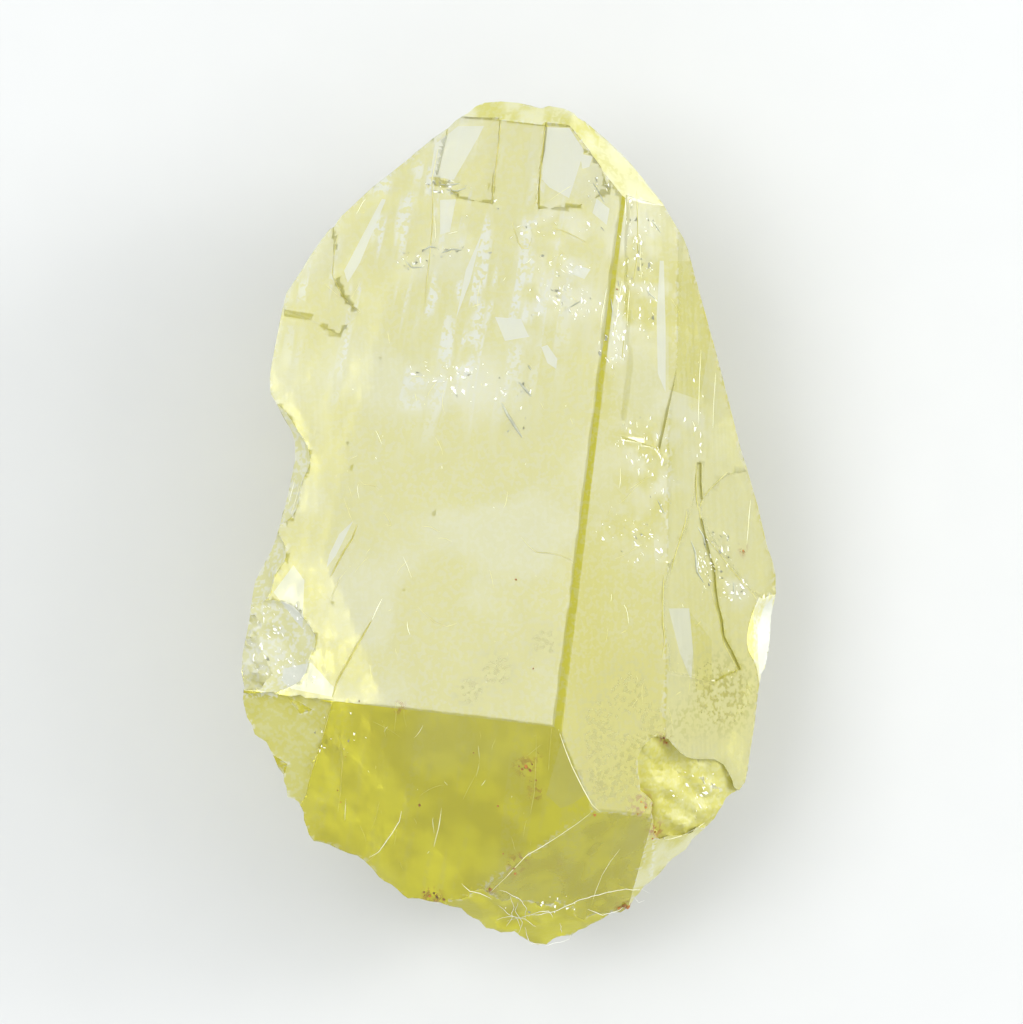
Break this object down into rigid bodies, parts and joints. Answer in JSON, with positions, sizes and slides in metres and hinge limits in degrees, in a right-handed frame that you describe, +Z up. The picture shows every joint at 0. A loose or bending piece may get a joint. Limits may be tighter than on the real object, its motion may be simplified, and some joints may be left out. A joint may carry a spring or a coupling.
{
  "type": "brazilianite crystal",
  "caption": "Gem-clear, yellow-green mineral crystal with flat faces, a long ridge, chipped edges and a broken base, lying on its flat back.",
  "frame": {"origin": "on the flat back that the crystal rests on, below the middle of its outline", "axes": "+Y along the crystal towards its tip, +X across it to the right as seen from the front, +Z up out of its front faces"},
  "size_m": [0.02, 0.0318, 0.0122],
  "materials": {
    "brazilianite": "clear yellow-green crystal, glossy on its faces and frosted on its breaks"
  },
  "bodies": {
    "root": {"brazilianite_crystal": "brazilianite"}
  },
  "joints": []
}
